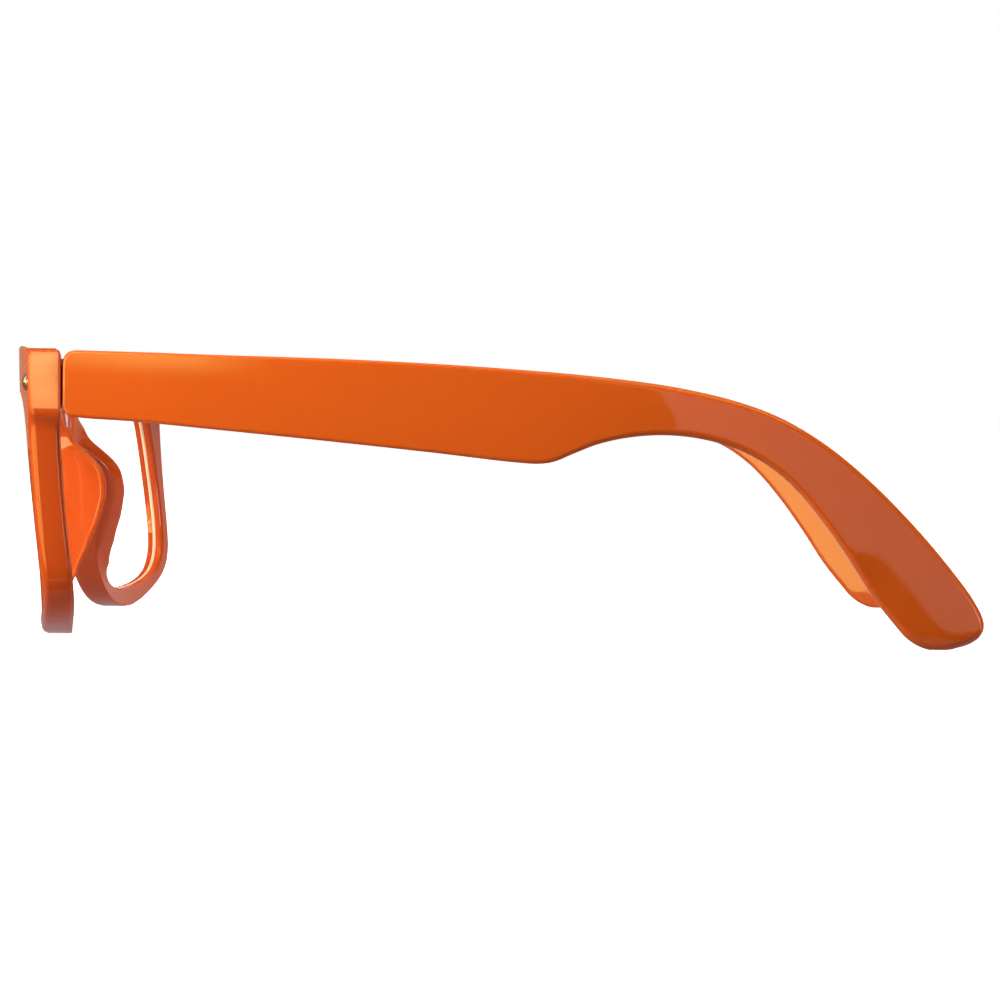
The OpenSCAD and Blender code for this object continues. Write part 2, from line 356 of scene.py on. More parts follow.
def made(name, co, faces, mirror=False):
    mesh = bpy.data.meshes.new(name)
    co = np.array(co, float)
    if mirror:
        co = co * [-1, 1, 1]
    mesh.from_pydata([tuple(c) for c in co], [], faces)
    bm = bmesh.new()
    bm.from_mesh(mesh)
    bmesh.ops.recalc_face_normals(bm, faces=bm.faces)
    bm.to_mesh(mesh)
    bm.free()
    mesh.shade_smooth()
    ob = bpy.data.objects.new(name, mesh)
    scene.collection.objects.link(ob)
    return ob


def flat_faces(ob):
    """Large faces give the normals, so they shine as evenly as they are moulded."""
    normals = ob.modifiers.new("normals", "WEIGHTED_NORMAL")
    normals.mode = "FACE_AREA"
    normals.weight = 50
    normals.keep_sharp = True


def twin(ob, name):
    """The mirror image of a piece across the part's middle."""
    mesh = ob.data.copy()
    mesh.transform(Matrix.Scale(-1, 4, (1, 0, 0)))
    mesh.flip_normals()
    other = bpy.data.objects.new(name, mesh)
    scene.collection.objects.link(other)
    return other


# ---------------------------------------------------------------------------
# The front
# ---------------------------------------------------------------------------
def ball_y(p, off):
    """How deep, on the upright front, the surface lies that is off behind its face."""
    return BALL_R - np.sqrt((BALL_R - off) ** 2 - p[:, 0] ** 2 - (p[:, 1] - BOW_Z) ** 2)


def row_of(x, y, h):
    """Local place on the upright front to the part's own, both in mm."""
    return (x, y * math.cos(LEAN) - h * math.sin(LEAN) + FRONT_Y,
            y * math.sin(LEAN) + h * math.cos(LEAN) + FRONT_Z)


def ball_row(p, off):
    """The same surface on the leaning front: its depth at points (x, z)."""
    s, c = math.sin(LEAN), math.cos(LEAN)
    y, h = (p[:, 1] - FRONT_Z) * s, (p[:, 1] - FRONT_Z) * c
    b = c * (y - BALL_R) - s * (h - BOW_Z)
    q = p[:, 0] ** 2 + (y - BALL_R) ** 2 + (h - BOW_Z) ** 2 - (BALL_R - off) ** 2
    return FRONT_Y - b - np.sqrt(b * b - q)


def smax(a, b, k):
    return 0.5 * (a + b + np.sqrt((a - b) ** 2 + k * k))


CREST_CURVE = opened(CREST)


def back_row(p):
    """How deep the front's back lies at points (x, z), pads and hinge blocks with it."""
    x, z = np.abs(p[:, 0]), p[:, 1]
    shell = ball_row(p, FRONT_T)
    crest = np.interp(np.clip(z, 7.2, 28.2), CREST_CURVE[:, 0], CREST_CURVE[:, 1])
    crest = crest - 1.0 * np.maximum(0, 7.2 - z) - 1.1 * np.maximum(0, z - 28.2)
    xc = np.interp(z, [c[0] for c in CREST_X], [c[1] for c in CREST_X])
    pad = crest + (x - xc) * PAD_SLOPE - 0.06 * np.maximum(0, x - xc - 0.6) ** 2
    keep = smoothstep(26, 22, x)
    y = smax(shell, pad * keep + (shell - 6) * (1 - keep), 0.8) - 0.02
    block = (np.minimum((x - 50.4) * 0.82, 0.6) - 3.5 * smoothstep(31.3, 30.3, z)
             - 3.5 * smoothstep(37.3, 38.1, z) * smoothstep(60.0, 58.8, x))
    y = np.where(x > 44, smax(y, block, 0.25), y)
    over = smoothstep(29.2, 30.2, z) * smoothstep(44, 47, x)
    t = np.clip((z - 38.1) / 1.25, 0, 0.98)
    limit = 0.10 - 0.75 * (1 - np.sqrt(1 - t * t))
    return y - over * np.maximum(0, y - limit)


def front_row(p):
    return ball_row(p, 0)


def front_local(p):
    return ball_y(p, 0)


def back_local(p):
    y = ball_y(p, FRONT_T)
    for _ in range(6):
        x, _, z = row_of(p[:, 0], y, p[:, 1])
        y = (back_row(np.stack([x, z], 1)) - FRONT_Y + p[:, 1] * math.sin(LEAN)) / math.cos(LEAN)
    return y


def lean_over(p, y):
    x, depth, z = row_of(p[:, 0], y, p[:, 1])
    return np.stack([x, z], 1), depth


def place_row(v):
    v = v.copy()
    x = np.abs(v[:, 0])
    # behind the face's upper edge, the brow's top falls away
    fall = 39.95 - 1.0 * np.clip(v[:, 2] - ball_row(v[:, :2], 0) - 0.2, 0, 0.55) * smoothstep(59.2, 56.5, x) * smoothstep(15, 22, x)
    v[:, 1] = -smax(-v[:, 1], -fall, 0.05) + 0.0006
    return np.stack([v[:, 0], v[:, 2] - Y_MID, np.maximum(v[:, 1], 0.0)], 1) / 1000


def place_leant(v):
    x, y, z = row_of(v[:, 0], v[:, 2], v[:, 1])
    return np.stack([x, y - Y_MID, z], 1) / 1000


outline = closed(HALF + [(-x, h) for x, h in HALF[-2:0:-1]], 0.22)
outline[:, 0] = np.clip(outline[:, 0], -60.9, 60.9)
outline = turned(even(outline, 0.40, 1.2))
eye_l = closed(EYE, 0.4)
holes = [turned(even(eye_l, 0.4, 1.0), False), turned(even(eye_l * [-1, 1], 0.4, 1.0), False)]


def crest_share(p):
    """0 on the plain rim, 1 where a nose pad stands behind it."""
    return smoothstep(0.4, 2.2, back_row(p) - ball_row(p, FRONT_T)) * smoothstep(24, 20, np.abs(p[:, 0]))


def round_front(p, li):
    x, z = np.abs(p[:, 0]), p[:, 1]
    return (np.full(len(p), 0.75) if li else 0.85 - 0.45 * smoothstep(30, 32.5, z) * smoothstep(56, 59, x)
            - 0.5 * smoothstep(35, 37, z) * smoothstep(60, 56, x) * smoothstep(12, 20, x))


def round_back(p, li):
    return (0.7 if li else 0.26) + (0.35 if li else 0.75) * crest_share(p)


# share of 10 or more: that many mm less ten behind the front's face
front_walls = {i: [(10 + 0.93, 0.0), (10 + 0.96, 0.0), (10 + 2.44, 0.0), (10 + 2.5, 0.0), (10 + 2.6, 0.0), (0.7, 0.0), (0.985, 0.0)]
               for i in (1, 2)}
front = moulded("front_shell", [outline] + holes, front_row, back_row, round_front, round_back, place_row, 0.55, front_walls,
                leant=((1, 2), front_local, back_local, lean_over),
                draw=lambda q: 0.3 * smoothstep(30.5, 28, q[:, 1]) * smoothstep(40, 54, np.abs(q[:, 0])))
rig.ride(front, "front")
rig.replaces(front, "front_frame")
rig.slot(front, "frame_plastic")
flat_faces(front)


# ---------------------------------------------------------------------------
# Lenses
# ---------------------------------------------------------------------------
def grown(q, d):
    return q - inward(q) * d


lens_loop = turned(even(grown(turned(closed(EYE, 0.4)), GROOVE - 0.05), 0.5, 1.0))
left_lens = moulded("lens_left", [lens_loop], lambda p: ball_y(p, LENS_SET), lambda p: ball_y(p, LENS_SET + LENS_T),
                    lambda p, li: np.full(len(p), 0.2), lambda p, li: np.full(len(p), 0.2), place_leant, 1.0, None, 3)
right_lens = twin(left_lens, "lens_right")
for ob, node in ((left_lens, "left_lens"), (right_lens, "right_lens")):
    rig.ride(ob, "front")
    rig.replaces(ob, node)
    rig.slot(ob, "lens")


# a pale ring just behind the lens, just showing in the rim's groove: a painted highlight along the rim's inner wall
edge_loop = turned(even(turned(closed(EYE, 0.4)), 0.4, 1.0))
edge_n = inward(edge_loop)
edge_co, edge_faces, EDGE_SIDES = [], [], 12
for k in range(EDGE_SIDES):
    a = 2 * math.pi * k / EDGE_SIDES
    p = edge_loop - edge_n * (0.22 + 0.34 * math.cos(a))
    edge_co.append(np.concatenate([p, (ball_y(p, 2.78 + 0.34 * math.sin(a)))[:, None]], 1))
    for i in range(len(edge_loop)):
        j, u, v = (i + 1) % len(edge_loop), k * len(edge_loop), (k + 1) % EDGE_SIDES * len(edge_loop)
        edge_faces.append([u + i, u + j, v + j, v + i])
left_groove_shine = made("groove_highlight_left", place_leant(np.concatenate(edge_co)), edge_faces)
right_groove_shine = twin(left_groove_shine, "groove_highlight_right")
for ob in (left_groove_shine, right_groove_shine):
    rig.ride(ob, "front")


# ---------------------------------------------------------------------------
# Temples
# ---------------------------------------------------------------------------
OUTER = opened(SWEEP)
temple_loop = turned(even(closed(PROFILE, 0.12), 0.4, 1.2))
lower_edge = opened([(100, 19.2), (104, 13.9), (108, 8.0), (111.4, 3.6), (114, 1.0), (117.5, -0.15), (120.2, 0.25), (122.5, 1.1)])


def outer_face(p):
    x = np.interp(p[:, 0], OUTER[:, 0], OUTER[:, 1])
    # the tip's lower part is rounded off more softly than the rest
    d = np.full(len(p), 1e9)
    for i in range(0, len(lower_edge), 8):
        e = lower_edge[i]
        d = np.minimum(d, np.hypot(p[:, 0] - e[0], p[:, 1] - e[1]))
    wide = 1.2 + 4.4 * smoothstep(104.5, 111.5, p[:, 0]) * smoothstep(120.5, 114.5, p[:, 0])
    fall = np.clip(1 - d / wide, 0, 1)
    middle = np.interp(p[:, 0], [0, 20, 40, 55, 63, 70, 80, 90], [34.9, 33.9, 32.7, 31.7, 31, 31.6, 31.8, 30.1])
    half = np.interp(p[:, 0], [0, 20, 40, 55, 63, 70, 80, 90], [4.4, 5.0, 5.7, 6.1, 6.1, 4.9, 3.4, 3.2])
    across = np.clip((p[:, 1] - middle) / half, -1.1, 1.1) * smoothstep(100, 85, p[:, 0])
    return x - 0.75 * fall ** 2 * smoothstep(103, 109, p[:, 0]) - 0.026 * half * across ** 2


def inner_face(p):
    x = np.interp(p[:, 0], OUTER[:, 0], OUTER[:, 1])
    return x - (TEMPLE_T + (TIP_T - TEMPLE_T) * p[:, 0] / 124)


def round_outer(p, li):
    return 0.5 + 0.35 * smoothstep(50, 90, p[:, 0]) - 0.2 * smoothstep(2.0, 0.8, p[:, 0])


def round_inner(p, li):
    return 0.45 + 0.05 * smoothstep(50, 90, p[:, 0])


def place_temple(v):
    return np.stack([v[:, 2], v[:, 0] - Y_MID, np.maximum(v[:, 1], 0.0)], 1) / 1000


left_temple = moulded("temple_left", [temple_loop], outer_face, inner_face, round_outer, round_inner,
                      place_temple, 0.75, None, 7)
right_temple = twin(left_temple, "temple_right")
for ob, body in ((left_temple, "left_temple"), (right_temple, "right_temple")):
    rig.ride(ob, body)
    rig.replaces(ob, body)
    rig.slot(ob, "frame_plastic")
    flat_faces(ob)


# ---------------------------------------------------------------------------
# Rivets: a domed head with a small flat edge, on a stud
# ---------------------------------------------------------------------------
def turned_part(name, profile, n=72):
    """A solid of revolution about z from (radius, height) points, first and last on the axis."""
    co, faces = [], []
    a = np.arange(n) * 2 * math.pi / n
    rings = []
    for r, z in profile:
        if r < 1e-6:
            rings.append([len(co)])
            co.append((0, 0, z))
        else:
            rings.append(list(range(len(co), len(co) + n)))
            co += [(r * math.cos(t), r * math.sin(t), z) for t in a]
    for u, v in zip(rings, rings[1:]):
        for i in range(n):
            j = (i + 1) % n
            if len(u) == 1:
                faces.append([u[0], v[i], v[j]])
            elif len(v) == 1:
                faces.append([u[i], v[0], u[j]])
            else:
                faces.append([u[i], v[i], v[j], u[j]])
    return np.array(co), faces


dome = (RIVET_R ** 2 + RIVET_H ** 2) / (2 * RIVET_H)
profile = [(0, -2.2), (0.6, -2.2), (0.6, -0.04), (1.13, -0.04), (1.18, 0.0), (RIVET_R, 0.04), (1.19, 0.09)]
tilt0 = math.asin(1.14 / dome)
for k in range(12, -1, -1):
    t = tilt0 * k / 12
    profile.append((dome * math.sin(t) if k else 0.0, RIVET_H - dome + dome * math.cos(t)))
rivet_co, rivet_faces = turned_part("rivet", profile)
rise = math.asin((RIVET_Z - BOW_Z) / BALL_R)
az = math.asin(RIVET_X / (BALL_R * math.cos(rise)))
m = (Matrix.Translation((0, -Y_MID, 0)) @ Matrix.Translation((0, FRONT_Y, FRONT_Z)) @ Matrix.Rotation(LEAN, 4, "X")
     @ Matrix.Translation((0, BALL_R, BOW_Z)) @ Matrix.Rotation(az, 4, "Z") @ Matrix.Rotation(-rise, 4, "X")
     @ Matrix.Translation((0, -BALL_R, 0)) @ Matrix.Rotation(math.pi / 2, 4, "X"))
rivet_co = np.array([list(m @ Vector(c)) for c in rivet_co]) / 1000
left_rivet = made("rivet_left", rivet_co, rivet_faces)
right_rivet = twin(left_rivet, "rivet_right")
for ob, node in ((left_rivet, "left_front_rivet"), (right_rivet, "right_front_rivet")):
    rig.ride(ob, "front")
    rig.replaces(ob, node)
    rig.slot(ob, "rivet_chrome")


# ---------------------------------------------------------------------------
# Materials
# ---------------------------------------------------------------------------
class Mat:
    def __init__(self, name):
        self.m = bpy.data.materials.new(name)
        self.m.use_nodes = True
        self.t = self.m.node_tree
        self.b = self.t.nodes["Principled BSDF"]

    def node(self, kind, **values):
        n = self.t.nodes.new(kind)
        for k, v in values.items():
            setattr(n, k, v)
        return n

    def link(self, a, b):
        self.t.links.new(a, b)

    def math(self, op, a, b=None, clamp=False):
        n = self.node("ShaderNodeMath", operation=op, use_clamp=clamp)
        for i, v in enumerate((a, b)):
            if v is None:
                continue
            if isinstance(v, (int, float)):
                n.inputs[i].default_value = v
            else:
                self.link(v, n.inputs[i])
        return n.outputs[0]

    def noise(self, coord, scale, detail=2.0, rough=0.5):
        n = self.node("ShaderNodeTexNoise")
        self.link(coord, n.inputs["Vector"])
        n.inputs["Scale"].default_value = scale
        n.inputs["Detail"].default_value = detail
        n.inputs["Roughness"].default_value = rough
        return n.outputs["Fac"]

    def ramp(self, fac, lo, hi, a, b):
        n = self.node("ShaderNodeMapRange")
        self.link(fac, n.inputs["Value"])
        for key, v in (("From Min", lo), ("From Max", hi), ("To Min", a), ("To Max", b)):
            n.inputs[key].default_value = v
        return n.outputs[0]

    def mix(self, fac, a, b):
        n = self.node("ShaderNodeMix", data_type="RGBA")
        for i, v in ((0, fac), (6, a), (7, b)):
            if isinstance(v, (int, float)):
                n.inputs[i].default_value = v
            elif isinstance(v, tuple):
                n.inputs[i].default_value = (*v, 1)
            else:
                self.link(v, n.inputs[i])
        return n.outputs[2]

    def bump(self, height, distance, strength=1.0, normal=None):
        n = self.node("ShaderNodeBump")
        n.inputs["Strength"].default_value = strength
        n.inputs["Distance"].default_value = distance
        self.link(height, n.inputs["Height"])
        if normal is not None:
            self.link(normal, n.inputs["Normal"])
        return n.outputs[0]


def plastic(name, dark, light, mottle):
    m = Mat(name)
    obj = m.node("ShaderNodeTexCoord").outputs["Object"]
    broad = m.noise(obj, 55, 2)
    fine = m.noise(obj, 900, 3)
    base = m.mix(broad, dark, light)
    base = m.mix(m.ramp(fine, 0.3, 0.7, 0.0, 0.10), base, mottle)
    # specks of dust: a few small light ones, fewer dark ones
    for scale, rare, size, colour, amount in ((210, 0.80, 0.036, (0.95, 0.42, 0.22), 0.55), (120, 0.93, 0.034, (0.36, 0.045, 0.012), 0.75)):
        cell = m.node("ShaderNodeTexVoronoi")
        m.link(obj, cell.inputs["Vector"])
        cell.inputs["Scale"].default_value = scale
        split = m.node("ShaderNodeSeparateColor")
        m.link(cell.outputs["Color"], split.inputs[0])
        some = m.math("GREATER_THAN", split.outputs[0], rare)
        near = m.ramp(cell.outputs["Distance"], size * 0.5, size * 1.5, 1.0, 0.0)
        base = m.mix(m.math("MULTIPLY", m.math("MULTIPLY", some, near, True), amount), base, colour)
    m.link(base, m.b.inputs["Base Color"])
    m.link(m.ramp(m.noise(obj, 140, 3), 0.3, 0.7, 0.022, 0.045), m.b.inputs["Roughness"])
    m.b.inputs["IOR"].default_value = 1.5
    m.b.inputs["Subsurface Weight"].default_value = 0.25
    m.b.inputs["Subsurface Radius"].default_value = (1.0, 0.30, 0.08)
    m.b.inputs["Subsurface Scale"].default_value = 0.0012
    m.link(m.bump(m.noise(obj, 85, 1), 0.00002, 1.0, m.bump(fine, 0.0000012)), m.b.inputs["Normal"])
    return m.m


def metal(name, colour, rough, bump=0.000002, scale=1500):
    m = Mat(name)
    obj = m.node("ShaderNodeTexCoord").outputs["Object"]
    stretch = m.node("ShaderNodeMapping")
    m.link(obj, stretch.inputs[0])
    stretch.inputs["Scale"].default_value = (1, 1, 14)
    grain = m.noise(stretch.outputs[0], scale, 3)
    m.link(m.mix(m.ramp(grain, 0.3, 0.7, 0, 1), tuple(c * 0.86 for c in colour), colour), m.b.inputs["Base Color"])
    m.b.inputs["Metallic"].default_value = 1.0
    m.link(m.ramp(grain, 0.3, 0.7, rough * 0.7, rough * 1.3), m.b.inputs["Roughness"])
    m.link(m.bump(grain, bump), m.b.inputs["Normal"])
    return m.m


def clear(name):
    """A thin clear lens with a faint blue coating: see-through, and shiny where it is seen aslant."""
    m = Mat(name)
    obj = m.node("ShaderNodeTexCoord").outputs["Object"]
    m.t.nodes.remove(m.b)
    tint = m.mix(m.noise(obj, 40, 2), (0.990, 0.996, 1.0), (0.994, 0.998, 1.0))
    through = m.node("ShaderNodeBsdfRefraction")
    through.inputs["IOR"].default_value = 1.5
    through.inputs["Roughness"].default_value = 0.0
    m.link(tint, through.inputs["Color"])
    shine = m.node("ShaderNodeBsdfGlossy")
    m.link(m.mix(m.noise(obj, 25, 1), (0.62, 0.76, 1.0), (0.75, 0.86, 1.0)), shine.inputs["Color"])
    m.link(m.ramp(m.noise(obj, 700, 2), 0.3, 0.7, 0.0, 0.02), shine.inputs["Roughness"])
    edge = m.node("ShaderNodeFresnel")
    edge.inputs["IOR"].default_value = 1.5
    both = m.node("ShaderNodeMixShader")
    m.link(m.math("MINIMUM", edge.outputs[0], 0.022), both.inputs[0])
    m.link(through.outputs[0], both.inputs[1])
    m.link(shine.outputs[0], both.inputs[2])
    clear_way = m.node("ShaderNodeBsdfTransparent")
    m.link(tint, clear_way.inputs["Color"])
    lamp = m.node("ShaderNodeMixShader")
    path = m.node("ShaderNodeLightPath")
    light_ray = m.math("MAXIMUM", path.outputs["Is Shadow Ray"], path.outputs["Is Glossy Ray"])
    m.link(m.math("MAXIMUM", light_ray, m.ramp(edge.outputs[0], 0.25, 0.38, 0.0, 1.0)), lamp.inputs[0])
    m.link(both.outputs[0], lamp.inputs[1])
    m.link(clear_way.outputs[0], lamp.inputs[2])
    m.link(lamp.outputs[0], m.t.nodes["Material Output"].inputs["Surface"])
    return m.m


orange = plastic("orange_plastic", (0.800, 0.123, 0.0112), (0.840, 0.135, 0.0132), (0.74, 0.105, 0.009))
# painted shade: the front wears a darker copy of the temples' orange, standing in for the dimmer light on its rim
orange_shaded_front = plastic("orange_plastic_front", (0.610, 0.076, 0.0098), (0.645, 0.084, 0.0116), (0.56, 0.064, 0.0085))
steel = metal("satin_steel", (0.60, 0.59, 0.57), 0.28)
bright = metal("bright_steel", (0.72, 0.72, 0.73), 0.16)
chrome = metal("polished_chrome", (0.80, 0.81, 0.82), 0.035, 0.0000006)
lens_mat = clear("clear_lens")


# cream colour of the groove ring: a painted highlight along the rim's inner wall
em = Mat("painted_groove_highlight")
em_at = em.node("ShaderNodeTexCoord").outputs["Object"]
em.link(em.mix(em.noise(em_at, 400, 3), (0.90, 0.60, 0.36), (0.95, 0.66, 0.42)), em.b.inputs["Base Color"])
em.link(em.ramp(em.noise(em_at, 900, 2), 0.3, 0.7, 0.25, 0.4), em.b.inputs["Roughness"])


def wear(ob, material):
    ob.data.materials.clear()
    ob.data.materials.append(material)
    for s in ob.material_slots:
        s.material = material


for ob in (left_temple, right_temple):
    wear(ob, orange)
wear(front, orange_shaded_front)
for ob in (left_lens, right_lens):
    wear(ob, lens_mat)
for ob in (left_groove_shine, right_groove_shine):
    wear(ob, em.m)
for ob in (left_rivet, right_rivet):
    wear(ob, chrome)

for side in ("left", "right"):
    for node, material, width in ((side + "_front_hinge_leaf", steel, 0.10), (side + "_temple_hinge_leaf", steel, 0.10),
                                  (side + "_hinge_screw", bright, 0.07)):
        ob = frame["nodes"][node]
        for s in ob.material_slots:
            s.material = material
        ob.data.shade_smooth()
        bevel = ob.modifiers.new("edges", "BEVEL")
        bevel.width = width / 1000
        bevel.segments = 3
        bevel.limit_method = "ANGLE"
        bevel.angle_limit = math.radians(32)
        bevel.harden_normals = True
        normals = ob.modifiers.new("normals", "WEIGHTED_NORMAL")
        normals.keep_sharp = True


# ---------------------------------------------------------------------------
# Floor, backdrop light and studio lights
# ---------------------------------------------------------------------------
def flat(name, w, h):
    mesh = bpy.data.meshes.new(name)
    mesh.from_pydata([(-w, -h, 0), (w, -h, 0), (w, h, 0), (-w, h, 0)], [], [(0, 1, 2, 3)])
    ob = bpy.data.objects.new(name, mesh)
    scene.collection.objects.link(ob)
    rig.stage(ob)
    return ob


floor = flat("floor", 6, 6)
floor.location = (0, 0, -0.00002)
fm = Mat("pale_floor")
fm.link(fm.mix(fm.noise(fm.node("ShaderNodeTexCoord").outputs["Object"], 3, 2), (0.86, 0.86, 0.865), (0.88, 0.88, 0.88)), fm.b.inputs["Base Color"])
fm.b.inputs["Roughness"].default_value = 0.9
fm.b.inputs["Specular IOR Level"].default_value = 0.0
fm.b.inputs["Emission Color"].default_value = (1, 1, 1, 1)
fm.b.inputs["Emission Strength"].default_value = 1.0
wear(floor, fm.m)
floor.visible_glossy = False
floor.visible_diffuse = False
floor.visible_shadow = False

world = bpy.data.worlds.new("studio")
scene.world = world
world.use_nodes = True
wt = world.node_tree
bg = wt.nodes["Background"]
coord = wt.nodes.new("ShaderNodeTexCoord")
sep = wt.nodes.new("ShaderNodeSeparateXYZ")
wt.links.new(coord.outputs["Generated"], sep.inputs[0])
up = wt.nodes.new("ShaderNodeMapRange")
wt.links.new(sep.outputs["Z"], up.inputs["Value"])
for key, v in (("From Min", -0.12), ("From Max", -0.02), ("To Min", 0.10), ("To Max", 1.0)):
    up.inputs[key].default_value = v
mixc = wt.nodes.new("ShaderNodeMix")
mixc.data_type = "RGBA"
wt.links.new(up.outputs[0], mixc.inputs[0])
mixc.inputs[6].default_value = (0.10, 0.10, 0.10, 1)
mixc.inputs[7].default_value = (1.0, 1.0, 1.0, 1)
wt.links.new(mixc.outputs[2], bg.inputs["Color"])
bg.inputs["Strength"].default_value = 1.0
world.cycles_visibility.glossy = False
world.cycles_visibility.diffuse = False


def card(name, at, look, w, h, radiance, colour=(1, 1, 1), glossy=True, diffuse=False, spread=180):
    """A rectangular light of the given radiance, w by h metres, at a place and facing another."""
    light = bpy.data.lights.new(name, "AREA")
    light.shape = "RECTANGLE"
    light.size, light.size_y = w, h
    light.energy = radiance * 4 * w * h
    light.color = colour
    light.spread = math.radians(spread)
    ob = bpy.data.objects.new(name, light)
    scene.collection.objects.link(ob)
    ob.location = at
    ob.rotation_euler = (Vector(look) - Vector(at)).to_track_quat("-Z", "Y").to_euler()
    ob.visible_camera = False
    ob.visible_glossy = glossy
    ob.visible_diffuse = diffuse
    ob.visible_transmission = False
    return ob


def glow(name, corners, patches, gloss=True, slant=0.0):
    """A flat sheet that only gloss sees, or only what scatters light. Each patch is (x0, x1, y0, y1, soft, radiance, colour, bow): it shines between x0 and x1 and
    between y0 and y1, measured in the sheet's own plane, its edges fade over soft (sideways, upright), and its left edge bows by
    bow * (y - middle) ** 2. Slant shears the patches: on an upright sheet sideways by slant * height, on a level one the other way."""
    mesh = bpy.data.meshes.new(name)
    mesh.from_pydata(corners, [], [(0, 1, 2, 3)])
    ob = bpy.data.objects.new(name, mesh)
    scene.collection.objects.link(ob)
    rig.stage(ob)
    m = Mat(name)
    m.t.nodes.remove(m.b)
    split = m.node("ShaderNodeSeparateXYZ")
    m.link(m.node("ShaderNodeTexCoord").outputs["Object"], split.inputs[0])
    flat_x = abs(corners[0][0] - corners[2][0]) < 1e-6
    across, along = (split.outputs[1], split.outputs[2]) if flat_x else (split.outputs[0], split.outputs[1])
    if slant and flat_x:
        across = m.math("ADD", across, m.math("MULTIPLY", along, slant))
    elif slant:
        along = m.math("ADD", along, m.math("MULTIPLY", across, slant))
    total = (0.0, 0.0, 0.0)
    for x0, x1, y0, y1, soft, radiance, colour, bow, middle in patches:
        start = across
        if bow:
            off = m.math("SUBTRACT", along, middle)
            start = m.math("SUBTRACT", across, m.math("MULTIPLY", m.math("MULTIPLY", off, off), bow))
        parts = []
        for value, edge, way, k in ((start, x0, 1, 0), (across, x1, -1, 0), (along, y0, 1, 1), (along, y1, -1, 1)):
            n = m.node("ShaderNodeMapRange", interpolation_type="SMOOTHSTEP")
            m.link(value, n.inputs["Value"])
            n.inputs["From Min"].default_value = edge - soft[k] * way / 2
            n.inputs["From Max"].default_value = edge + soft[k] * way / 2
            parts.append(n.outputs[0])
        share = m.math("MULTIPLY", m.math("MULTIPLY", parts[0], parts[1]), m.math("MULTIPLY", parts[2], parts[3]))
        total = m.mix(share, total, tuple(c * radiance for c in colour))
    light = m.node("ShaderNodeEmission")
    m.link(total, light.inputs["Color"])
    m.link(light.outputs[0], m.t.nodes["Material Output"].inputs["Surface"])
    wear(ob, m.m)
    ob.visible_camera = False
    ob.visible_diffuse = not gloss
    ob.visible_glossy = gloss
    ob.visible_transmission = False
    ob.visible_shadow = False
    ob.visible_volume_scatter = False
    return ob


# light that falls on the part: a key from the front left, weaker light from above and from the other sides
card("key", (0.28, -0.30, 0.26), (0.06, -0.02, 0.02), 0.2, 0.2, 16.5, glossy=False, diffuse=True)
card("fill_top", (0.2, 0, 1.2), (0, 0, 0), 2.0, 2.0, 0.22, glossy=False, diffuse=True)
card("fill_right", (-0.15, 1.0, 0.35), (0, -0.04, 0.02), 0.6, 0.5, 7.0, glossy=False, diffuse=True)
card("fill_back", (-0.7, 0.1, 0.45), (0, 0, 0.02), 0.6, 0.5, 0.8, glossy=False, diffuse=True)
glow("fill_floor", [(-2, -2, -0.01), (2, -2, -0.01), (2, 2, -0.01), (-2, 2, -0.01)], [
    (-3, 3, -3, 3, (0.1, 0.1), 0.30, (1, 0.97, 0.95), 0, 0),
    (-0.35, 0.35, -0.3, -0.02, (0.1, 0.08), 0.55, (1, 0.97, 0.95), 0, 0),
], False)
# what the gloss shows: a wall on the camera's side, the floor, and what stands in front, above and behind
PEACH = (1.0, 0.80, 0.34)
glow("gloss_wall", [(1.26, -3.2, -0.9), (1.26, 3.2, -0.9), (1.26, 3.2, 2.6), (1.26, -3.2, 2.6)], [
    (-0.20, -0.10, 0.12, 1.20, (0.09, 0.10), 4.0, (1.0, 1.0, 0.24), 0, 0),
    (-0.26, -0.2205, 0.006, 2.50, (0.002, 0.004), 10.8, (1.0, 0.56, 0.19), 0, 0),
    (-0.26, -0.2205, 0.036, 2.50, (0.002, 0.030), 11.0, (1.0, 0.82, 0.30), 0, 0),
    (-0.45, -0.247, -0.16, 0.50, (0.016, 0.03), 6.4, (1.0, 0.78, 0.27), 0, 0),
    (-3.6, -0.44, -0.75, 0.50, (0.04, 0.10), 4.5, (1.0, 0.66, 0.14), 0, 0),
    (-2.6, -0.245, 0.014, 0.50, (0.01, 0.04), 8.4, PEACH, 0, 0),
    (-0.335, -0.2205, 0.45, 1.35, (0.02, 0.10), 9.0, PEACH, 0, 0),
    (-0.46, -0.25, 1.35, 2.60, (0.04, 0.10), 8.0, PEACH, 0, 0),
    (1.95, 3.20, -0.85, 0.75, (0.10, 0.10), 7.0, (1.0, 0.86, 0.95), 0, 0),
    (0.296, 1.9, -0.14, 0.60, (0.004, 0.10), 0.8, (1, 1, 1), -1.2, 0.03),
])
glow("gloss_floor", [(-1.6, -1.5, -0.004), (0.07, -1.5, -0.004), (0.07, 1.5, -0.004), (-1.6, 1.5, -0.004)], [
    (-3, 0.0635, -3, 3, (0.002, 0.002), 0.34, (1.0, 0.88, 0.92), 0, 0),
    (-3, 0.09, -3, -0.082, (0.01, 0.01), 0.26, (1.0, 0.42, 0.22), 0, 0),
], slant=0.12)
glow("gloss_floor_near", [(0.07, -1.5, -0.02), (0.12, -1.5, -0.02), (0.12, 1.5, -0.02), (0.07, 1.5, -0.02)], [
    (0.083, 0.094, -3, 3, (0.001, 0.001), 0.34, (1.0, 0.9, 0.92), 0, 0),
])
glow("gloss_far_end", [(-1.6, -3.2, -0.9), (-1.6, 3.2, -0.9), (-1.6, 3.2, 1.5), (-1.6, -3.2, 1.5)], [
    (-9, 9, -9, 9, (0.1, 0.1), 0.24, (1.0, 0.42, 0.22), 0, 0),
])
glow("gloss_front_left", [(0.1, -1.5, -0.5), (1.26, -1.5, -0.5), (1.26, -1.5, 0.75), (0.1, -1.5, 0.75)], [
    (-9, 9, -9, 9, (0.1, 0.1), 3.4, (1.0, 0.80, 0.14), 0, 0),
])
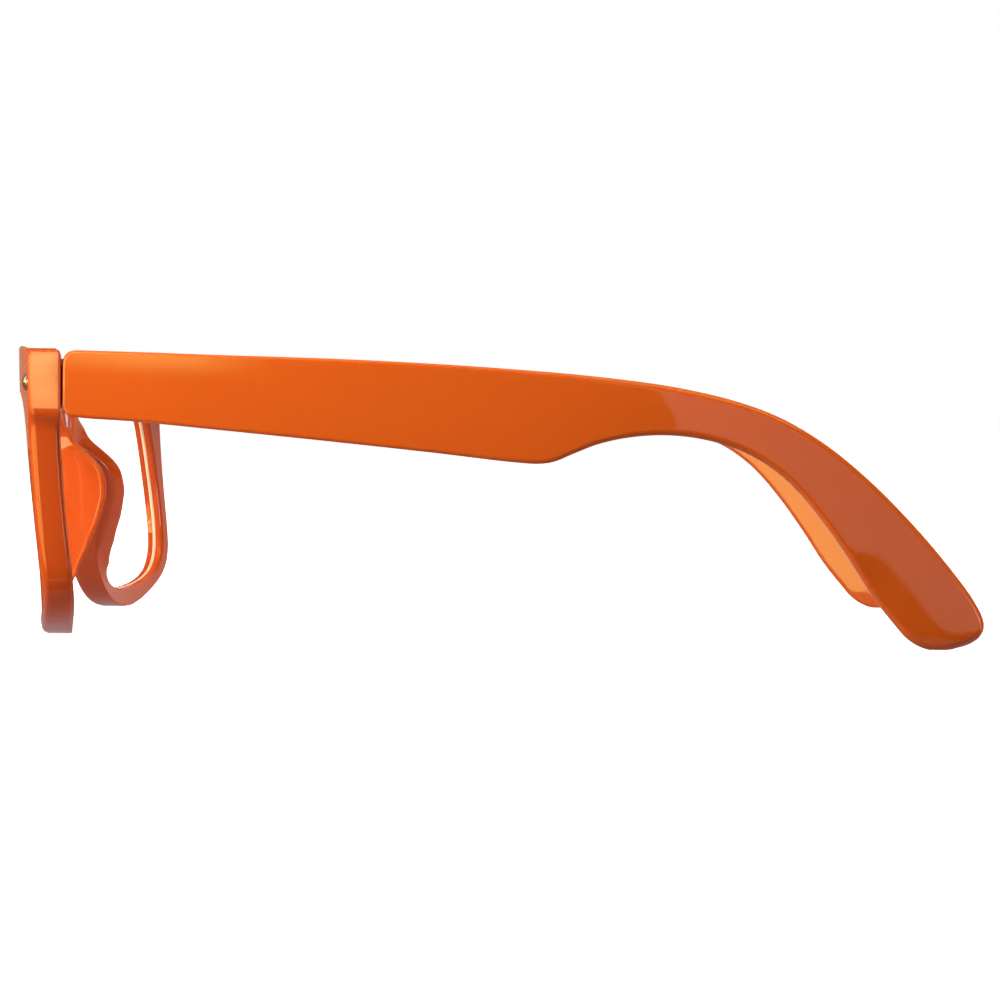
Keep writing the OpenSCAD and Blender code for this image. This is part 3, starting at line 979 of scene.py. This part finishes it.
glow("gloss_front", [(-0.7, -1.5, 0.1), (0.1, -1.5, 0.1), (0.1, -1.5, 0.9), (-0.7, -1.5, 0.9)], [
    (-0.6, 0.0, -3, 3, (0.1, 0.1), 1.1, (1, 1, 1), 0, 0),
])
glow("gloss_front_low", [(-0.5, -1.5, -0.4), (0.1, -1.5, -0.4), (0.1, -1.5, 0.1), (-0.5, -1.5, 0.1)], [
    (-9, 9, -9, 9, (0.1, 0.1), 3.0, (1.0, 0.74, 0.16), 0, 0),
])
card("gloss_top", (0.1, 0, 0.9), (0.0, 0, 0), 1.6, 0.7, 1.5, (1.0, 0.76, 0.24))
card("gloss_behind", (-1.0, -0.03, 0.25), (0, -0.03, 0.25), 0.24, 0.9, 0.75, (0.95, 0.93, 1.0))
card("gloss_behind_left", (-1.0, -0.42, 0.20), (0, -0.06, 0.20), 0.5, 0.9, 0.24, (1.0, 0.52, 0.32))
card("gloss_behind_right", (-1.0, 0.50, 0.25), (0, 0, 0.03), 0.8, 0.9, 0.28, (0.98, 0.90, 0.92))

# ---------------------------------------------------------------------------
# Camera
# ---------------------------------------------------------------------------
cam_data = bpy.data.cameras.new("camera")
cam = bpy.data.objects.new("camera", cam_data)
scene.collection.objects.link(cam)
cam_data.sensor_width = 36
cam_data.sensor_fit = "HORIZONTAL"
cam_data.lens = 3775 / 1000 * 36
cam_data.clip_start, cam_data.clip_end = 0.01, 50
right = Vector((-0.0207816, 0.9997378, 0.0096178))
up_v = Vector((-0.0287237, -0.010213, 0.9995352))
fwd = Vector((-0.9993713, -0.0204957, -0.0289284))
cam.matrix_world = Matrix(((right.x, up_v.x, -fwd.x, 0.560), (right.y, up_v.y, -fwd.y, 0.01263),
                           (right.z, up_v.z, -fwd.z, 0.03438), (0, 0, 0, 1)))
scene.camera = cam
scene.view_settings.view_transform = "Standard"
scene.view_settings.look = "None"

bpy.context.view_layer.update()
with open("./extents.json", "w") as out:
    json.dump({"cad": cad_box, "visual": [[float(v) for v in corner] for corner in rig.bounds()]}, out)
